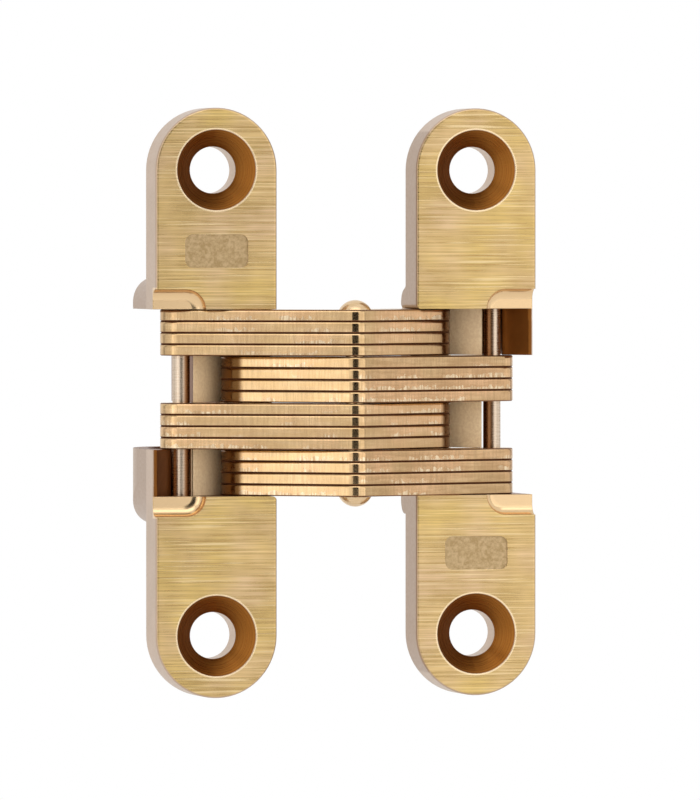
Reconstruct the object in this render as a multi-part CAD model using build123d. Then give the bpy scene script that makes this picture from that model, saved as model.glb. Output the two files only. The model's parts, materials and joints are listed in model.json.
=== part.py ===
from build123d import *
import os
from math import acos, asin, atan2, cos, hypot, pi, sin

# Invisible hinge, open flat: two cast leaves joined by laminated scissor links.
# Leaf coordinates: u from the outer side to the inner side, v into the leaf from its face, Z along the pins.
# All sizes are in millimetres.

# Leaf faces
leaf_length = 60.3
leaf_width = 12.7
flange_thickness = 4.5
face_rounding = 0.25
open_gap = 14.7
closed_gap = 3.4

# Screw holes
screw_spacing = 47.6
screw_hole_d = 4.8
countersink_d = 8.3
countersink_depth = 1.75

# Linkage, with the hinge open flat
centre_standoff = 3.5
pivot_inset = 1.2
pivot_depth = 4.85
slide_inset = 3.6
slide_depth = 4.2

# Link plates, stacked in rows that belong to the two links in turn
row_count = 4
plates_per_row = 4
plate_thickness = 1.18
row_clearance = 0.06
knuckle_radius = 1.75
slide_end_radius = 2.15
pivot_end_radius = 3.5
crotch_radius = 2.0
plate_chamfer = 0.11

# Pins
centre_pin_d = 1.9
rivet_head_d = 3.3
rivet_head_height = 1.0
pivot_pin_d = 1.24
pivot_pin_reach = 1.4
slide_pin_d = 1.8
slide_pin_reach = 1.7
pin_chamfer = 0.12

# Clearances
running_clearance = 0.05
seat_clearance = 0.01
slot_clearance = 0.06
swing_clearance = 0.2

# Cast cup behind the face
cup_inset = 1.2
cup_straight_depth = 8.8
cup_floor = 1.45
lug_length = 3.3
lug_rounding = 4.5
boss_wall = 1.55
boss_reach = 2.0
boss_rounding = 1.5
block_gap = 0.28
guide_wall_depth = 1.45
guide_wall_land = 0.4

# Cut-outs in the face
scoop_depth = 1.5
scoop_width = 2.05
scoop_straight = 3.2
scoop_rounding = 1.1
pad_corner = 0.5
panel_length = 6.6
panel_width = 3.4
panel_corner = 0.8
panel_depth = 0.15
panel_from_pocket = 5.95

# Worked out from the sizes above
centre_u = leaf_width + open_gap / 2
row_pitch = plates_per_row * plate_thickness + row_clearance
pocket_half = row_count * row_pitch / 2
cup_width = leaf_width - cup_inset
pivot = (leaf_width - pivot_inset, pivot_depth)
slide_open = (slide_inset, slide_depth)
centre_open = (centre_u, -centre_standoff)
slot_radius = slide_pin_d / 2 + slot_clearance
slot_reach = slide_pin_reach + slot_clearance
beyond = leaf_width / 4


def turned(origin, radius, angle):
    return (origin[0] + radius * cos(angle), origin[1] + radius * sin(angle))


# The centre pin turns about the pivot pin from its open place until the faces stand closed_gap apart.
short_arm = hypot(centre_u - pivot[0], centre_standoff + pivot_depth)
long_arm = hypot(centre_u - slide_inset, centre_standoff + slide_depth)
short_arm_open = -atan2(centre_standoff + pivot_depth, centre_u - pivot[0])
long_arm_open = pi - atan2(centre_standoff + slide_depth, centre_u - slide_inset)
short_arm_closed = asin((pivot_depth + closed_gap / 2) / short_arm) - pi
swing = short_arm_open - short_arm_closed


def centre_at(share):
    return turned(pivot, short_arm, short_arm_open - swing * share)


def slide_at(share):
    """Slide pin in its leaf, from open at 0 to closed at 1, with both links turning at a steady ratio."""
    return turned(centre_at(share), long_arm, long_arm_open - (pi - swing) * share)


centre_closed = centre_at(1)
slide_closed = slide_at(1)
cup_depth = slide_closed[1] + slot_radius + cup_floor
block_u = slide_inset + slide_pin_d / 2 + block_gap
slot_stations = 11


def tangents(first, second, first_radius, second_radius):
    """Points where the two outer tangents touch two circles, one pair for each tangent."""
    across = (second[0] - first[0], second[1] - first[1])
    heading = atan2(across[1], across[0])
    spread = acos((first_radius - second_radius) / hypot(*across))
    pairs = []
    for angle in (heading - spread, heading + spread):
        pairs.append((turned(first, first_radius, angle), turned(second, second_radius, angle)))
    return heading, pairs


def arm_profile(first, second, first_radius, second_radius):
    """A lever with round ends about two points."""
    heading, (one, two) = tangents(first, second, first_radius, second_radius)
    return make_face([
        Line(one[0], one[1]),
        ThreePointArc(one[1], turned(second, second_radius, heading), two[1]),
        Line(two[1], two[0]),
        ThreePointArc(two[0], turned(first, first_radius, heading + pi), one[0]),
    ])


def disc(place, diameter):
    return Pos(*place) * Circle(diameter / 2)


def link_plate():
    """One stamped link plate, lying on z = 0, as it stands in the left leaf with the hinge open."""
    slide = (2 * centre_u - slide_inset, slide_depth)
    profile = arm_profile(centre_open, pivot, knuckle_radius, pivot_end_radius)
    profile += arm_profile(centre_open, slide, knuckle_radius, slide_end_radius)
    below_centre = (centre_u, pivot_depth)
    crotch = profile.vertices().sort_by_distance(below_centre)[0]
    profile = fillet(crotch, crotch_radius)
    profile -= disc(pivot, pivot_pin_d + 2 * running_clearance)
    profile -= disc(centre_open, centre_pin_d + 2 * running_clearance)
    profile -= disc(slide, slide_pin_d + 2 * seat_clearance)
    plate = extrude(profile, amount=plate_thickness)
    faces = plate.faces().sort_by(Axis.Z)
    rim = faces[0].outer_wire().edges() + faces[-1].outer_wire().edges()
    return chamfer(rim, plate_chamfer)


def slide_path():
    return [slide_at(station / (slot_stations - 1)) for station in range(slot_stations)]


def slot_profile():
    """The curved slot that the slide pin runs in, as wide as the pin with its clearance."""
    step = 0.001
    sides = ([], [])
    headings = []
    for station, place in enumerate(slide_path()):
        share = station / (slot_stations - 1)
        before = slide_at(share - step)
        after = slide_at(share + step)
        heading = atan2(after[1] - before[1], after[0] - before[0])
        headings.append(heading)
        sides[0].append(turned(place, slot_radius, heading + pi / 2))
        sides[1].append(turned(place, slot_radius, heading - pi / 2))
    open_end = turned(slide_open, slot_radius, headings[0] + pi)
    closed_end = turned(slide_closed, slot_radius, headings[-1])
    return make_face([
        Spline(*sides[0]),
        ThreePointArc(sides[0][-1], closed_end, sides[1][-1]),
        Spline(*reversed(sides[1])),
        ThreePointArc(sides[1][0], open_end, sides[0][0]),
    ])


def region(low_u, low_v, high_u, high_v):
    corners = ((low_u, low_v), (high_u, low_v), (high_u, high_v), (low_u, high_v))
    return Polygon(*corners, align=None)


def slide_row_cut():
    """Room for the long arm of the link that slides in this row: a sloping ramp and a deep channel."""
    _, pairs = tangents(
        centre_open, slide_open, knuckle_radius + swing_clearance, slide_end_radius + swing_clearance
    )
    near_centre, near_slide = max(pairs, key=lambda pair: pair[0][1])
    slope = (near_slide[1] - near_centre[1]) / (near_slide[0] - near_centre[0])
    channel_u = slide_closed[0] + slide_end_radius + swing_clearance
    inner_u = leaf_width + beyond
    ramp_inner = near_centre[1] + slope * (inner_u - near_centre[0])
    ramp_outer = near_centre[1] + slope * (channel_u - near_centre[0])
    return Polygon(
        (-beyond, -beyond), (inner_u, -beyond), (inner_u, ramp_inner), (channel_u, ramp_outer),
        (channel_u, cup_depth + beyond), (-beyond, cup_depth + beyond), align=None,
    )


def pivot_row_cut(guide_wall):
    """Room for the short arm of the link that pivots in this row, and for the slide pin that crosses it."""
    cut = arm_profile(
        centre_closed, pivot, knuckle_radius + swing_clearance, pivot_end_radius + swing_clearance
    )
    front = ((-beyond, -beyond), (leaf_width + beyond, -beyond), (leaf_width + beyond, pivot_depth), pivot)
    cut += Polygon(*front, centre_closed, align=None)
    if guide_wall:
        wall_foot = (slide_inset - slot_radius, slide_depth)
        return cut + Polygon(
            (-beyond, -beyond), (block_u, -beyond), (block_u, slide_depth), wall_foot,
            (guide_wall_land, guide_wall_depth), (-beyond, guide_wall_depth), align=None,
        )
    cut += region(-beyond, -beyond, block_u, cup_depth + beyond)
    cut += region(-beyond, slide_closed[1], slide_closed[0] + slot_radius, cup_depth + beyond)
    return cut + Polygon((-beyond, slide_depth), *slide_path(), (-beyond, slide_closed[1]), align=None)


def cup():
    """The deep part of the casting: a rounded block in plan with a bullet-shaped section."""
    length = 2 * (pocket_half + lug_length)
    plan = Plane.XZ * (Pos(cup_width / 2, 0) * RectangleRounded(cup_width, length, lug_rounding))
    section = make_face([
        Line((0, cup_straight_depth), (0, 0)),
        Line((0, 0), (cup_width, 0)),
        Line((cup_width, 0), (cup_width, cup_straight_depth)),
        EllipticalCenterArc((cup_width / 2, cup_straight_depth), cup_width / 2,
                            cup_depth - cup_straight_depth, start_angle=0, arc_size=180),
    ])
    return extrude(plan, amount=-cup_depth) & extrude(section, amount=length, both=True)


def pivot_boss():
    """The thick inner edge behind the face, which carries the pivot pin."""
    front = flange_thickness / 2
    size = (leaf_width - cup_width / 2, pivot_depth + boss_wall - front, 2 * (pocket_half + boss_reach))
    boss = Pos(leaf_width, front, 0) * Box(*size, align=(Align.MAX, Align.MIN, Align.CENTER))
    ends = boss.edges().filter_by(Axis.X).sort_by(Axis.Y)[-2:]
    return fillet(ends, boss_rounding)


def screw_hole(height):
    axis = Plane((leaf_width / 2, 0, height), z_dir=(0, 1, 0))
    bottom = (Align.CENTER, Align.CENTER, Align.MIN)
    sink = Cone(countersink_d / 2, screw_hole_d / 2, countersink_depth, align=bottom)
    return axis * (Cylinder(screw_hole_d / 2, flange_thickness, align=bottom) + sink)


def scoop():
    """The cove in the face beside the pocket's upper end, where the rivet's head comes to rest."""
    plan = Pos(scoop_straight, pocket_half) * Circle(scoop_width)
    plan += region(-beyond, pocket_half - scoop_width, scoop_straight, pocket_half + scoop_width)
    tool = extrude(Plane.XZ * plan, amount=-scoop_depth)
    return fillet(tool.faces().sort_by(Axis.Y)[-1].edges(), scoop_rounding)


def pad_corner_cut():
    """What comes off the lower pad's inner corner, beside the pocket, to round it."""
    middle = (leaf_width - pad_corner, -pocket_half - pad_corner)
    corner = region(*middle, leaf_width + pad_corner, -pocket_half + pad_corner)
    corner -= disc(middle, 2 * pad_corner)
    return extrude(Plane.XZ * corner, amount=-(pivot_depth + boss_wall))


def leaf():
    """The left leaf: flange, cup and boss in one casting, cut by the link rows, slot and holes."""
    outline = Pos(leaf_width / 2, 0) * SlotOverall(leaf_length, leaf_width, rotation=90)
    flange = extrude(Plane.XZ * outline, amount=-flange_thickness)
    flange = fillet(flange.faces().sort_by(Axis.Y)[0].edges(), face_rounding)
    body = flange + cup() + pivot_boss()
    for row in range(row_count):
        slides = row % 2 == 0
        last = row == row_count - 1
        profile = slide_row_cut() if slides else pivot_row_cut(guide_wall=last)
        body -= Pos(0, 0, pocket_half - (row + 1) * row_pitch) * extrude(profile, amount=row_pitch)
    body -= extrude(slot_profile(), amount=pocket_half + slot_reach, both=True)
    pivot_seat = disc(pivot, pivot_pin_d + 2 * seat_clearance)
    body -= extrude(pivot_seat, amount=pocket_half + pivot_pin_reach, both=True)
    body -= screw_hole(screw_spacing / 2) + screw_hole(-screw_spacing / 2)
    body -= scoop()
    body -= mirror(scoop(), about=Plane.XY)
    body -= pad_corner_cut()
    panel = Pos(leaf_width / 2, pocket_half + panel_from_pocket) * RectangleRounded(
        panel_length, panel_width, panel_corner
    )
    return body - extrude(Plane.XZ * panel, amount=-panel_depth)


def plain_pin(place, diameter, half_length):
    pin = extrude(disc(place, diameter), amount=half_length, both=True)
    return chamfer(pin.edges().filter_by(GeomType.CIRCLE), pin_chamfer)


def centre_rivet():
    """The rivet through every plate: its upper head sits on its own link, the lower one runs clear."""
    top = pocket_half - row_clearance / 2
    bottom = -pocket_half + row_clearance / 2 - running_clearance
    shank = centre_pin_d / 2
    head = rivet_head_d / 2
    dome = (head**2 + rivet_head_height**2) / (2 * rivet_head_height)
    half_way = asin(head / dome) / 2
    flank_out = dome * sin(half_way)
    flank_up = rivet_head_height - dome * (1 - cos(half_way))
    profile = Plane.XZ * make_face([
        Line((0, top + rivet_head_height), (0, bottom - rivet_head_height)),
        ThreePointArc((0, bottom - rivet_head_height), (flank_out, bottom - flank_up), (head, bottom)),
        Line((head, bottom), (shank, bottom)),
        Line((shank, bottom), (shank, top)),
        Line((shank, top), (head, top)),
        ThreePointArc((head, top), (flank_out, top + flank_up), (0, top + rivet_head_height)),
    ])
    return Pos(*centre_open) * revolve(profile, Axis.Z)


def turned_half(shape):
    """The same piece in the other half of the hinge, half a turn about the line of sight."""
    return shape.rotate(Axis((centre_u, 0, 0), (0, 1, 0)), 180)


left_leaf = leaf()
left_pivot = plain_pin(pivot, pivot_pin_d, pocket_half + pivot_pin_reach - seat_clearance)
left_slide = plain_pin(slide_open, slide_pin_d, pocket_half + slide_pin_reach)
nodes = {
    "left_leaf": left_leaf,
    "right_leaf": turned_half(left_leaf),
    "left_pivot_pin": left_pivot,
    "right_pivot_pin": turned_half(left_pivot),
    "left_slide_pin": left_slide,
    "right_slide_pin": turned_half(left_slide),
    "centre_rivet": centre_rivet(),
}

# Link B pivots in the left leaf and fills the even rows; link A is the same link turned half round.
plate = link_plate()
count = 0
for row in range(1, row_count, 2):
    row_top = pocket_half - row * row_pitch - row_clearance / 2
    for layer in range(plates_per_row):
        count += 1
        lying = Pos(0, 0, row_top - (layer + 1) * plate_thickness) * plate
        nodes[f"link_b_plate_{count}"] = lying
        nodes[f"link_a_plate_{count}"] = turned_half(lying)

# The origin is the middle of the left leaf's screw holes, on the back of its flange.
os.makedirs("parts", exist_ok=True)
for name, shape in nodes.items():
    export_step(Pos(-leaf_width / 2, -flange_thickness, 0) * shape, f"parts/{name}.step")
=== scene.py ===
import json
from math import cos, pi, radians, sin
from types import SimpleNamespace

import bmesh
import bpy
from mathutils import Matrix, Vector


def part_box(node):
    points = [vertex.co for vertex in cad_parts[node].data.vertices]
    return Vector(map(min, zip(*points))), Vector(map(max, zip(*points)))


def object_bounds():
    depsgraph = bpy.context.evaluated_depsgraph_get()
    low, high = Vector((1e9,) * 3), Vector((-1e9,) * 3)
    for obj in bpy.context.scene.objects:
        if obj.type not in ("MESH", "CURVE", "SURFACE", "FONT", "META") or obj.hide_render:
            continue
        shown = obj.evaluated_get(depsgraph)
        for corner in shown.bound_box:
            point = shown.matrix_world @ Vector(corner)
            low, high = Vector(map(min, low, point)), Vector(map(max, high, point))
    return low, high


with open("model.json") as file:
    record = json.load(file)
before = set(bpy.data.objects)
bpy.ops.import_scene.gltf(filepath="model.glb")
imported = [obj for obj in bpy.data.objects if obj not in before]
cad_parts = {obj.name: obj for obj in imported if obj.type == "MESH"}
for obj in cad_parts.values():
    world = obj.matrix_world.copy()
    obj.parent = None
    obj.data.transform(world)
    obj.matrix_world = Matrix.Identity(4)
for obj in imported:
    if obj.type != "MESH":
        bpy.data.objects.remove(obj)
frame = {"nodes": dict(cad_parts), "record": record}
cad_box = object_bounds()

# Satin brass invisible hinge, open flat before a white studio background.
# Lengths are in metres. Finishes are laid out in millimetres, in each leaf's own frame:
# u from its outer side to its inner side, v into it from the face, z along the pins.

MM = 0.001

# Places read from the frame
LEFT_LOW, LEFT_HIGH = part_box("left_leaf")
RIGHT_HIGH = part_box("right_leaf")[1]
FACE_Y = LEFT_LOW.y
HALF_WIDTH = (LEFT_HIGH.x - LEFT_LOW.x) / 2 / MM
SCREW_HEIGHT = frame["record"]["mounts"][0]["dims"]["spacing_y_mm"] / 2
PLATES = [name for name in frame["nodes"] if "_plate_" in name]
STACK_HALF = max(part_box(name)[1].z for name in PLATES) / MM
HINGE_MIDDLE = Vector(((LEFT_LOW.x + RIGHT_HIGH.x) / 2, FACE_Y, 0))
PIVOT = sum(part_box("left_pivot_pin"), Vector()) / 2
KNUCKLE = sum(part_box("centre_rivet"), Vector()) / 2

# Edges of the differently finished areas of a leaf, in millimetres
FACE_SKIN = 0.04
RECESS_START = 0.05
SINK_RADIUS = 4.2
SINK_DEPTH = 1.75
RIM_BRIGHT = SINK_RADIUS + 0.06
RIM_END = SINK_RADIUS + 0.13
SCOOP_TOP = STACK_HALF + 2.25
SCOOP_INNER = 5.4
SCOOP_FLOOR = 1.56
FLANGE = 4.5
POCKET_FRONT = 1.3
POCKET_OUTER = 0.1
POCKET_INNER = 11.2
LUG_SKIN = 1.0
BLOCK_OUTER = 4.7
BLOCK_SHADED = 8.6
BLOCK_FADE = 1.0
PANEL_HEIGHT = STACK_HALF + 6.0
PANEL_HALF_LENGTH = 3.4
PANEL_HALF_WIDTH = 1.8
PANEL_FLOOR = 0.2

# Places on the link plates, in millimetres
PLATE_END = 3.6
SHADED_END = 2.1
SHADED_FADE = 0.3
CREST = 1.4
CREST_FADE = 0.25

# Widths over which one finish turns into the next, in millimetres
SOFT = 0.1
FINE = 0.05
HAIR = 0.02

# Height of the surface's relief and rounding of its edges, in metres
CAST_RELIEF = 4e-6
STAMPED_RELIEF = 6e-6
DRAWN_RELIEF = 2e-6
CAST_EDGE = 0.12 * MM
SHARP_EDGE = 0.04 * MM

# Rolled top edge of a plate: how soon it starts below the top, and its fall in heights of the relief
ROLL_SLOPE = 3.5
ROLL_FALL = 24

# Most values of a noise texture lie between these two
NOISE_LOW = 0.38
NOISE_HIGH = 0.62

# Colours as red, green and blue; tones are the two ends of a texture
PAD_TONES = (0.83, 0.59, 0.215), (0.82, 0.575, 0.345)
PAD_GRAIN = (0.45, 0.30, 0.115)
# Painted highlight laid along the brushed strokes
PAD_STROKE_HIGHLIGHT = (0.96, 0.76, 0.44)
# Painted highlight on the edge of each countersink
RIM_HIGHLIGHT = (0.92, 0.74, 0.50)
# Painted shade: the countersinks' walls are given a dark brown
SINK_SHADE_TONES = (0.28, 0.10, 0.017), (0.33, 0.128, 0.024)
SCOOP = (0.74, 0.52, 0.29)
# Painted shade in the pockets: dark brown, and a lighter brown deep inside past the block
POCKET_SHADE_TONES = (0.18, 0.06, 0.011), (0.225, 0.082, 0.017)
POCKET_SHADE_INNER = (0.50, 0.26, 0.09)
# Painted light: a pale colour on the blocks' fronts so that they read as brightly lit
BLOCK_LIT_TONES = (0.86, 0.63, 0.37), (0.97, 0.75, 0.47)
PANEL_TONES = (0.44, 0.30, 0.14), (0.60, 0.43, 0.24)
SIDE_TONES = (0.49, 0.355, 0.25), (0.53, 0.385, 0.28)
SIDE_DULL = (0.38, 0.255, 0.17)
BACK_TONES = (0.60, 0.42, 0.21), (0.66, 0.47, 0.25)
EDGE_GOLD_TONES = (0.69, 0.475, 0.24), (0.80, 0.565, 0.31)
EDGE_ROSE_TONES = (0.71, 0.43, 0.225), (0.81, 0.50, 0.275)
EDGE_COMB = (0.44, 0.28, 0.14)
EDGE_SHADE = (0.42, 0.26, 0.12)
TORN_TONES = (0.52, 0.33, 0.17), (0.92, 0.76, 0.52)
PLATE_END_SHADE = (0.17, 0.08, 0.025)
SHEET_TONES = (0.54, 0.36, 0.17), (0.68, 0.47, 0.24)
SEAM = (0.24, 0.11, 0.05)
PIN_TONES = (0.62, 0.48, 0.35), (0.74, 0.61, 0.48)
RIVET_TONES = (0.68, 0.47, 0.25), (0.80, 0.60, 0.38)
# Painted dark reflection of the pocket on the pins' inner sides
PIN_DARK_REFLECTION = (0.24, 0.11, 0.045)

# Roughness of the finishes that are even all over
POLISHED = 0.2
WORN_BRIGHT = 0.17
POCKET_ROUGHNESS = 0.4
PANEL_ROUGHNESS = 0.42
TORN_ROUGHNESS = 0.32
SEAM_ROUGHNESS = 0.5

# Photograph's camera
CAMERA_AZIMUTH = radians(-14)
CAMERA_ELEVATION = radians(1)
CAMERA_DISTANCE = 1.1
SENSOR_MM = 36
PIXEL = 0.1024 * MM
PHOTO_HEIGHT = 800
HINGE_RIGHT_OF_MIDDLE = -3.15
HINGE_ABOVE_MIDDLE = -2.5

# Stage: the floor's distances are in metres, the world's fades run along a direction's x, y or z
FLOOR_GAP = 0.02
FLOOR_RADIUS = 0.45
FLOOR_GREY = 0.9
FLOOR_ROUGHNESS = 0.8
FLOOR_WHITENS = 0.03, 0.15
FLOOR_BEHIND = -0.05, 0.1
WORLD_BEHIND = -0.82, -0.36
WORLD_ABOVE = 0.3, 0.75
FLAG_SIDES = 0.8, 0.92
FLAG_SOFT = 0.06
FLAG_BEHIND = 0.1, 0.3
FLAG_LEVEL = 0.4
AMBIENT_LEVEL = 0.9
SOFTBOX_DISTANCE = 0.7


class Graph:
    """Short calls that build the nodes of one material or world."""

    def __init__(self, owner):
        owner.use_nodes = True
        self.owner = owner
        self.tree = owner.node_tree
        self.shader = next(node for node in self.tree.nodes if node.type in ("BSDF_PRINCIPLED", "BACKGROUND"))

    def feed(self, socket, value):
        if isinstance(value, bpy.types.NodeSocket):
            self.tree.links.new(value, socket)
        else:
            socket.default_value = value

    def node(self, kind, inputs=None, **settings):
        made = self.tree.nodes.new(kind)
        for key, value in settings.items():
            setattr(made, key, value)
        for key, value in (inputs or {}).items():
            self.feed(made.inputs[key], value)
        return made

    def math(self, operation, *values):
        return self.node("ShaderNodeMath", dict(enumerate(values)), operation=operation).outputs[0]

    def product(self, first, *others):
        for other in others:
            first = self.math("MULTIPLY", first, other)
        return first

    def distance(self, first, second):
        """Length of the slanted side over two lengths at right angles."""
        squares = [self.math("POWER", side, 2) for side in (first, second)]
        return self.math("SQRT", self.math("ADD", *squares))

    def step(self, value, start, end):
        """0 before start and 1 after end, with a smooth change between; start may be the larger."""
        inputs = {"Value": value, "From Min": start, "From Max": end}
        return self.node("ShaderNodeMapRange", inputs, interpolation_type="SMOOTHSTEP").outputs[0]

    def band(self, value, low, high, soft):
        """1 between low and high, with soft edges."""
        return self.product(
            self.step(value, low - soft, low + soft), self.step(value, high + soft, high - soft)
        )

    def level(self, value, low, high):
        """A texture value stretched evenly between two levels."""
        inputs = {
            "Value": value, "From Min": NOISE_LOW, "From Max": NOISE_HIGH, "To Min": low, "To Max": high,
        }
        return self.node("ShaderNodeMapRange", inputs).outputs[0]

    def mix(self, share, first, second):
        """A number mixed between two others."""
        return self.node("ShaderNodeMix", {0: share, 2: first, 3: second}).outputs[0]

    def tint(self, share, first, second):
        """A colour mixed between two others, given as red, green and blue."""
        inputs = {0: share}
        for key, colour in ((6, first), (7, second)):
            inputs[key] = colour if isinstance(colour, bpy.types.NodeSocket) else (*colour, 1)
        return self.node("ShaderNodeMix", inputs, data_type="RGBA").outputs[2]

    def shade(self, texture, tones):
        """A colour that follows a texture from one tone to another."""
        return self.tint(self.level(texture, 0, 1), *tones)

    def split(self, vector):
        return self.node("ShaderNodeSeparateXYZ", {0: vector}).outputs

    def noise(self, vector, stretch, detail=3.0, roughness=0.55):
        """A noise texture; stretch is how often it changes in a unit of x, y and z."""
        scaled = self.node("ShaderNodeVectorMath", {0: vector, 1: stretch}, operation="MULTIPLY").outputs[0]
        inputs = {"Vector": scaled, "Scale": 1.0, "Detail": detail, "Roughness": roughness}
        return self.node("ShaderNodeTexNoise", inputs).outputs[0]

    def rays(self):
        """Whether the ray comes from the camera, and whether it comes from metal or glass."""
        path = self.node("ShaderNodeLightPath").outputs
        return path["Is Camera Ray"], self.math("MAXIMUM", path["Is Glossy Ray"], path["Is Transmission Ray"])

    def place(self, shift, half_turn=False):
        """Coordinates in millimetres and the surface's direction, turned half round for the right leaf."""
        source = self.node("ShaderNodeTexCoord")
        turn = (0, pi if half_turn else 0, 0)
        inputs = {0: source.outputs["Object"], 1: shift, 2: turn, 3: (1 / MM, 1 / MM, 1 / MM)}
        point = self.node("ShaderNodeMapping", inputs).outputs[0]
        inputs = {0: source.outputs["Normal"], 2: turn}
        facing = self.node("ShaderNodeMapping", inputs, vector_type="VECTOR").outputs[0]
        return point, facing

    def finish(self, colour, roughness, height, relief, edge_radius, metallic=1.0):
        """Feed the shader; relief scales the bump's height and edge_radius softens the corners."""
        corner = self.node("ShaderNodeBevel", {"Radius": edge_radius}, samples=4)
        inputs = {"Height": height, "Distance": relief, "Normal": corner.outputs[0]}
        bump = self.node("ShaderNodeBump", inputs)
        self.feed(self.shader.inputs["Base Color"], colour)
        self.feed(self.shader.inputs["Metallic"], metallic)
        self.feed(self.shader.inputs["Roughness"], roughness)
        self.feed(self.shader.inputs["Normal"], bump.outputs[0])
        return self.owner


def leaf_areas(graph, half_turn):
    """Where each finish of a leaf lies, as masks, and the coordinates that the masks are laid out in."""
    outer_side = RIGHT_HIGH.x if half_turn else -LEFT_LOW.x
    point, facing = graph.place((outer_side / MM, -FACE_Y / MM, 0), half_turn)
    u, v, z = graph.split(point)
    sideways, backward, _ = graph.split(facing)
    forward = graph.math("MULTIPLY", backward, -1)
    height = graph.math("ABSOLUTE", z)
    off_middle = graph.math("SUBTRACT", u, HALF_WIDTH)
    from_screw = graph.distance(off_middle, graph.math("SUBTRACT", height, SCREW_HEIGHT))
    from_panel = graph.math("ABSOLUTE", graph.math("SUBTRACT", z, PANEL_HEIGHT))

    areas = SimpleNamespace(point=point, u=u, v=v, from_screw=from_screw)
    areas.back = graph.step(forward, 0.1, -0.7)
    inner_side = graph.step(u, POCKET_INNER, POCKET_INNER + 2 * SOFT)
    cup = graph.step(v, FLANGE - SOFT, FLANGE + SOFT)
    areas.dull_side = graph.math("MAXIMUM", inner_side, cup)
    areas.pad = graph.product(graph.step(forward, 0.8, 0.97), graph.step(v, SOFT, FACE_SKIN))
    areas.rim = graph.product(areas.pad, graph.step(from_screw, RIM_END, RIM_BRIGHT))
    areas.sink = graph.product(
        graph.step(from_screw, SINK_RADIUS + SOFT, SINK_RADIUS), graph.band(v, FACE_SKIN, SINK_DEPTH, HAIR)
    )
    areas.scoop = graph.product(
        graph.band(height, STACK_HALF, SCOOP_TOP, FINE), graph.step(u, SCOOP_INNER + SOFT, SCOOP_INNER),
        graph.band(v, RECESS_START, SCOOP_FLOOR, HAIR),
    )

    # The pocket leaves out the back of the cup and the lug's outer skin, and takes in the back of its block
    block_back = graph.product(graph.step(z, -1, 0), graph.step(sideways, -0.4, -0.6))
    not_cup_back = graph.math("MAXIMUM", graph.step(forward, -0.15, -0.05), block_back)
    not_lug_skin = graph.math(
        "MAXIMUM", graph.step(u, LUG_SKIN - 2 * SOFT, LUG_SKIN), graph.step(sideways, -0.85, -0.75)
    )
    areas.pocket = graph.product(
        graph.step(height, STACK_HALF + SOFT, STACK_HALF), graph.step(v, POCKET_FRONT - SOFT, POCKET_FRONT),
        graph.band(u, POCKET_OUTER, POCKET_INNER, FINE), not_cup_back, not_lug_skin,
    )
    areas.block = graph.product(
        areas.pocket, graph.step(forward, 0.4, 0.6), graph.step(u, BLOCK_OUTER - SOFT, BLOCK_OUTER),
        graph.step(u, BLOCK_SHADED + BLOCK_FADE, BLOCK_SHADED),
    )
    areas.panel = graph.product(
        graph.step(graph.math("ABSOLUTE", off_middle), PANEL_HALF_LENGTH, PANEL_HALF_LENGTH - FINE),
        graph.step(from_panel, PANEL_HALF_WIDTH, PANEL_HALF_WIDTH - FINE),
        graph.band(v, RECESS_START, PANEL_FLOOR, HAIR),
    )
    return areas


def leaf_textures(graph, areas):
    """Brushed grain in long lines across the pads, rings in the countersinks, and cast skin elsewhere."""
    point = areas.point
    fine_grain = graph.noise(point, (0.06, 1, 5.2), detail=3, roughness=0.75)
    broad_grain = graph.noise(point, (0.2, 1, 0.22), detail=2)
    turned = graph.node("ShaderNodeCombineXYZ", {0: areas.from_screw, 1: areas.v}).outputs[0]
    return SimpleNamespace(
        grain=graph.math("ADD", graph.product(fine_grain, 0.7), graph.product(broad_grain, 0.3)),
        strokes=graph.step(graph.noise(point, (0.09, 1, 6.5), detail=1), 0.56, 0.68),
        hue=graph.noise(point, (0.1, 0.3, 0.14), detail=2),
        cloud=graph.noise(point, (0.25, 0.25, 0.25), detail=4),
        peel=graph.noise(point, (3.2, 3.2, 3.2), detail=4, roughness=0.65),
        rings=graph.noise(turned, (9, 9, 1), detail=2),
    )


def leaf_colour(graph, areas, textures):
    side = graph.shade(textures.cloud, SIDE_TONES)
    side = graph.tint(areas.dull_side, side, SIDE_DULL)
    colour = graph.tint(areas.back, side, graph.shade(textures.cloud, BACK_TONES))

    brushed = graph.shade(textures.hue, PAD_TONES)
    brushed = graph.tint(graph.level(textures.grain, 1, 0), brushed, PAD_GRAIN)
    # The strokes are real grain in the bump; their light colour is a painted highlight
    brushed = graph.tint(graph.product(textures.strokes, 0.55), brushed, PAD_STROKE_HIGHLIGHT)
    colour = graph.tint(areas.pad, colour, brushed)
    # Painted highlight in a thin ring round each countersink; its low roughness further down is a real polish
    colour = graph.tint(graph.product(areas.rim, 0.7), colour, RIM_HIGHLIGHT)
    # Painted shade in the countersinks, over the real turned rings
    colour = graph.tint(areas.sink, colour, graph.shade(textures.rings, SINK_SHADE_TONES))
    colour = graph.tint(areas.scoop, colour, SCOOP)

    # Painted shade in the pockets, lighter deep inside past the block
    pocket_shade = graph.shade(textures.cloud, POCKET_SHADE_TONES)
    pocket_shade = graph.tint(graph.step(areas.u, BLOCK_SHADED, BLOCK_SHADED + BLOCK_FADE), pocket_shade, POCKET_SHADE_INNER)
    colour = graph.tint(areas.pocket, colour, pocket_shade)
    # Painted light: the block's front is pale so that it reads as lit
    colour = graph.tint(areas.block, colour, graph.shade(textures.peel, BLOCK_LIT_TONES))
    return graph.tint(areas.panel, colour, graph.shade(textures.peel, PANEL_TONES))


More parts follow.
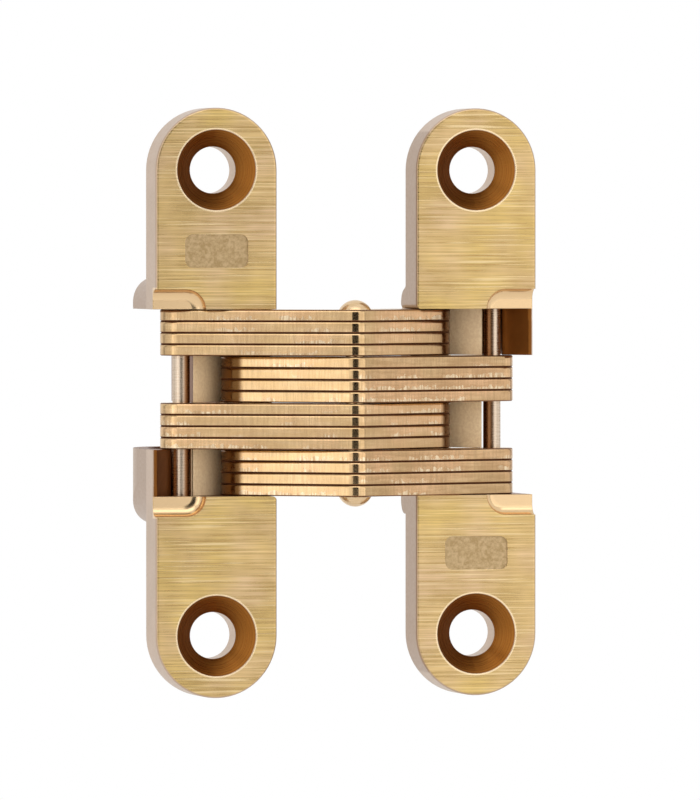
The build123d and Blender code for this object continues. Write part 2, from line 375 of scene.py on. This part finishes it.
def leaf_brass(name, half_turn):
    """Brushed pads, satin sides, turned countersinks, polished scoops and dark pockets on one casting."""
    graph = Graph(bpy.data.materials.new(name))
    areas = leaf_areas(graph, half_turn)
    textures = leaf_textures(graph, areas)

    satin = graph.level(textures.peel, 0.28, 0.36)
    roughness = graph.mix(areas.pad, satin, graph.level(textures.grain, 0.24, 0.36))
    roughness = graph.mix(areas.rim, roughness, POLISHED)
    roughness = graph.mix(areas.sink, roughness, graph.level(textures.rings, 0.27, 0.33))
    roughness = graph.mix(areas.scoop, roughness, POLISHED)
    roughness = graph.mix(areas.pocket, roughness, POCKET_ROUGHNESS)
    roughness = graph.mix(areas.panel, roughness, PANEL_ROUGHNESS)

    cast = graph.mix(areas.scoop, graph.product(textures.peel, 0.6), 0.3)
    brushed = graph.math("ADD", graph.product(textures.grain, 2), graph.product(textures.strokes, 0.5))
    height = graph.mix(areas.pad, cast, brushed)
    height = graph.mix(areas.sink, height, graph.product(textures.rings, 0.2))
    colour = leaf_colour(graph, areas, textures)
    # The block is not metal, so that its pale painted colour shows lit
    metallic = graph.math("SUBTRACT", 1.0, areas.block)
    return graph.finish(colour, roughness, height, CAST_RELIEF, CAST_EDGE, metallic)


def link_areas(graph):
    """Flat sides, seams, shaded ends and worn crests of the plates, as masks, with their coordinates."""
    point, facing = graph.place(-HINGE_MIDDLE / MM)
    x, depth, _ = graph.split(point)
    upright = graph.math("ABSOLUTE", graph.split(facing)[2])

    areas = SimpleNamespace(point=point, x=x)
    areas.flat = graph.step(upright, 0.9, 0.98)
    areas.seam = graph.band(upright, 0.35, 0.92, 0.1)

    # The round ends stay dark where the pockets hide them, and the crest of each knuckle is worn bright
    pivot_x, pivot_depth, _ = (PIVOT - HINGE_MIDDLE) / MM
    past_pivot = graph.math("ADD", graph.math("ABSOLUTE", x), pivot_x)
    from_pivot = graph.distance(past_pivot, graph.math("SUBTRACT", depth, pivot_depth))
    areas.shaded_end = graph.product(
        graph.step(from_pivot, PLATE_END + SOFT, PLATE_END),
        graph.step(past_pivot, SHADED_END - SHADED_FADE, SHADED_END + SHADED_FADE),
    )
    crest_depth = (KNUCKLE.y - HINGE_MIDDLE.y) / MM - CREST
    areas.crest = graph.step(depth, crest_depth + CREST_FADE, crest_depth)
    return areas


def link_brass():
    """Stamped brass strip: lengthwise grain and torn shear marks on the edges, dark seams between plates."""
    graph = Graph(bpy.data.materials.new("link_brass"))
    areas = link_areas(graph)
    grain = graph.noise(areas.point, (0.3, 0.3, 2.6), detail=2, roughness=0.5)
    patches = graph.noise(areas.point, (0.16, 0.16, 0.3), detail=1)
    tone = graph.noise(areas.point, (0.13, 0.13, 0.3), detail=2)
    comb = graph.noise(areas.point, (5.0, 5.0, 0.5), detail=2)
    ragged = graph.noise(areas.point, (1.6, 1.6, 1.6), detail=3)
    rolled = graph.noise(areas.point, (0.4, 5.0, 0.4), detail=3)

    # The punch leaves each edge rounded at the top, then smooth, and torn in fine upright lines at the bottom
    through = graph.split(graph.node("ShaderNodeTexCoord").outputs["Generated"])[2]
    break_line = graph.math("ADD", through, graph.level(ragged, -0.18, 0.18))
    torn = graph.product(graph.step(break_line, 0.36, 0.28), graph.step(patches, 0.48, 0.56))
    past_flat = graph.math("MULTIPLY_ADD", through, ROLL_SLOPE, 1 - ROLL_SLOPE)
    top_roll = graph.math("POWER", graph.math("MAXIMUM", past_flat, 0), 2)

    rosy = graph.math("ADD", graph.level(patches, -0.2, 0.7), graph.product(graph.step(areas.x, 0, 3), 0.5))
    edge = graph.tint(rosy, graph.shade(grain, EDGE_GOLD_TONES), graph.shade(grain, EDGE_ROSE_TONES))
    edge = graph.tint(graph.level(comb, 0.35, 0), edge, EDGE_COMB)
    edge = graph.tint(graph.level(tone, 0.45, 0), edge, EDGE_SHADE)
    edge = graph.tint(graph.product(torn, 0.8), edge, graph.shade(comb, TORN_TONES))
    edge = graph.tint(areas.shaded_end, edge, PLATE_END_SHADE)
    colour = graph.tint(areas.flat, edge, graph.shade(rolled, SHEET_TONES))
    colour = graph.tint(areas.seam, colour, SEAM)

    roughness = graph.mix(torn, graph.level(grain, 0.16, 0.26), TORN_ROUGHNESS)
    roughness = graph.mix(areas.crest, roughness, WORN_BRIGHT)
    roughness = graph.mix(areas.flat, roughness, graph.level(rolled, 0.22, 0.32))
    roughness = graph.mix(areas.seam, roughness, SEAM_ROUGHNESS)

    height = graph.mix(torn, graph.product(grain, 0.5), comb)
    height = graph.math("SUBTRACT", height, graph.product(top_roll, ROLL_FALL))
    height = graph.mix(areas.flat, height, graph.product(rolled, 0.5))
    return graph.finish(colour, roughness, height, STAMPED_RELIEF, SHARP_EDGE)


def pin_brass(name, tones, least_roughness, dark_reflection):
    """Drawn pin stock with faint lines round it; a painted dark reflection of the pocket, in the share given,
    darkens the side towards the hinge's middle.
    """
    graph = Graph(bpy.data.materials.new(name))
    point, facing = graph.place(-HINGE_MIDDLE / MM)
    side = graph.math("SIGN", graph.split(point)[0])
    inward = graph.step(graph.product(graph.split(facing)[0], side), 0.15, -0.35)
    turning = graph.noise(point, (0.6, 0.6, 11), detail=3)
    cloud = graph.noise(point, (1.2, 1.2, 0.5), detail=2)
    colour = graph.shade(turning, tones)
    colour = graph.tint(graph.level(cloud, 0, 0.25), colour, tones[0])
    # Painted dark reflection on the side towards the hinge's middle
    colour = graph.tint(graph.product(inward, dark_reflection), colour, PIN_DARK_REFLECTION)
    roughness = graph.level(turning, least_roughness, least_roughness + 0.08)
    return graph.finish(colour, roughness, turning, DRAWN_RELIEF, SHARP_EDGE)


def dress():
    """Give each node the finish whose word its name holds."""
    finishes = {
        "left_leaf": leaf_brass("left_leaf_brass", half_turn=False),
        "right_leaf": leaf_brass("right_leaf_brass", half_turn=True),
        "plate": link_brass(),
        "pin": pin_brass("pin_brass", PIN_TONES, least_roughness=0.26, dark_reflection=1.0),
        "rivet": pin_brass("rivet_brass", RIVET_TONES, least_roughness=0.18, dark_reflection=0.0),
    }
    for name, node in frame["nodes"].items():
        finish = next(made for word, made in finishes.items() if word in name)
        node.material_slots[0].material = finish


def look_from(azimuth, elevation):
    """Direction from the hinge towards a point of view."""
    return Vector((sin(azimuth) * cos(elevation), -cos(azimuth) * cos(elevation), sin(elevation)))


def softbox(name, azimuth, elevation, size, radiance):
    """A rectangular studio light that faces the hinge; radiance 1 shows as white in a mirror."""
    data = bpy.data.lights.new(name, "AREA")
    data.shape = "RECTANGLE"
    data.size, data.size_y = size
    data.energy = radiance * pi * size[0] * size[1]
    lamp = bpy.data.objects.new(name, data)
    away = look_from(radians(azimuth), radians(elevation))
    lamp.location = HINGE_MIDDLE + away * SOFTBOX_DISTANCE
    lamp.rotation_euler = away.to_track_quat("Z", "Y").to_euler()
    bpy.context.scene.collection.objects.link(lamp)


def studio_world():
    """White to the camera; in the metal, white behind and above, dim in front, with a grey flag each side."""
    graph = Graph(bpy.data.worlds.new("studio"))
    x, y, z = graph.split(graph.node("ShaderNodeTexCoord").outputs["Generated"])
    sides = graph.band(graph.math("ABSOLUTE", x), *FLAG_SIDES, FLAG_SOFT)
    flag = graph.product(sides, graph.step(y, *FLAG_BEHIND))
    behind = graph.product(graph.step(y, *WORLD_BEHIND), graph.mix(flag, 1.0, FLAG_LEVEL))
    mirrored = graph.math("MAXIMUM", behind, graph.step(z, *WORLD_ABOVE))
    from_camera, from_metal = graph.rays()
    strength = graph.mix(from_metal, AMBIENT_LEVEL, mirrored)
    strength = graph.mix(from_camera, strength, 1.0)
    graph.feed(graph.shader.inputs["Strength"], strength)
    graph.feed(graph.shader.inputs["Color"], (1, 1, 1, 1))
    bpy.context.scene.world = graph.owner


def floor_finish():
    """Pale and matt near the hinge, turning to the white of the background further out."""
    graph = Graph(bpy.data.materials.new("pale_floor"))
    graph.feed(graph.shader.inputs["Roughness"], FLOOR_ROUGHNESS)
    graph.feed(graph.shader.inputs["Base Color"], (FLOOR_GREY, FLOOR_GREY, FLOOR_GREY, 1))
    place = graph.node("ShaderNodeTexCoord").outputs["Object"]
    behind = graph.step(graph.split(place)[1], *FLOOR_BEHIND)
    reach = graph.node("ShaderNodeVectorMath", {0: place}, operation="LENGTH").outputs["Value"]
    from_camera, from_metal = graph.rays()
    seen = graph.math("MAXIMUM", from_camera, graph.product(from_metal, behind))
    share = graph.product(graph.step(reach, *FLOOR_WHITENS), seen)
    white = graph.node("ShaderNodeEmission", {"Color": (1, 1, 1, 1), "Strength": 1.0}).outputs[0]
    inputs = {0: share, 1: graph.shader.outputs[0], 2: white}
    surface = graph.node("ShaderNodeMixShader", inputs).outputs[0]
    graph.feed(graph.tree.nodes["Material Output"].inputs["Surface"], surface)
    return graph.owner


def floor():
    """A round floor a little below the hinge."""
    mesh = bpy.data.meshes.new("floor")
    shape = bmesh.new()
    bmesh.ops.create_circle(shape, cap_ends=True, segments=96, radius=FLOOR_RADIUS)
    shape.to_mesh(mesh)
    shape.free()
    mesh.materials.append(floor_finish())
    ground = bpy.data.objects.new("floor", mesh)
    ground.location = (HINGE_MIDDLE.x, 0, cad_box[0].z - FLOOR_GAP)
    bpy.context.scene.collection.objects.link(ground)


def camera():
    """The photograph's view, with a lens that shows one PIXEL of the hinge's face plane in each pixel."""
    data = bpy.data.cameras.new("photo_camera")
    data.sensor_width = SENSOR_MM
    data.lens = SENSOR_MM * CAMERA_DISTANCE / (PHOTO_HEIGHT * PIXEL)
    made = bpy.data.objects.new("photo_camera", data)
    back = look_from(CAMERA_AZIMUTH, CAMERA_ELEVATION)
    right = Vector((cos(CAMERA_AZIMUTH), sin(CAMERA_AZIMUTH), 0))
    up = back.cross(right)
    aim = HINGE_MIDDLE - right * HINGE_RIGHT_OF_MIDDLE * PIXEL - up * HINGE_ABOVE_MIDDLE * PIXEL
    made.location = aim + back * CAMERA_DISTANCE
    made.rotation_euler = (-back).to_track_quat("-Z", "Y").to_euler()
    bpy.context.scene.collection.objects.link(made)
    bpy.context.scene.camera = made


dress()
floor()
studio_world()
softbox("left_softbox", azimuth=-48, elevation=4, size=(0.48, 0.8), radiance=1.15)
softbox("right_softbox", azimuth=31, elevation=4, size=(0.54, 0.8), radiance=1.35)
softbox("top_softbox", azimuth=-10, elevation=55, size=(0.7, 0.4), radiance=1.0)
camera()
bpy.context.scene.view_settings.view_transform = "Standard"
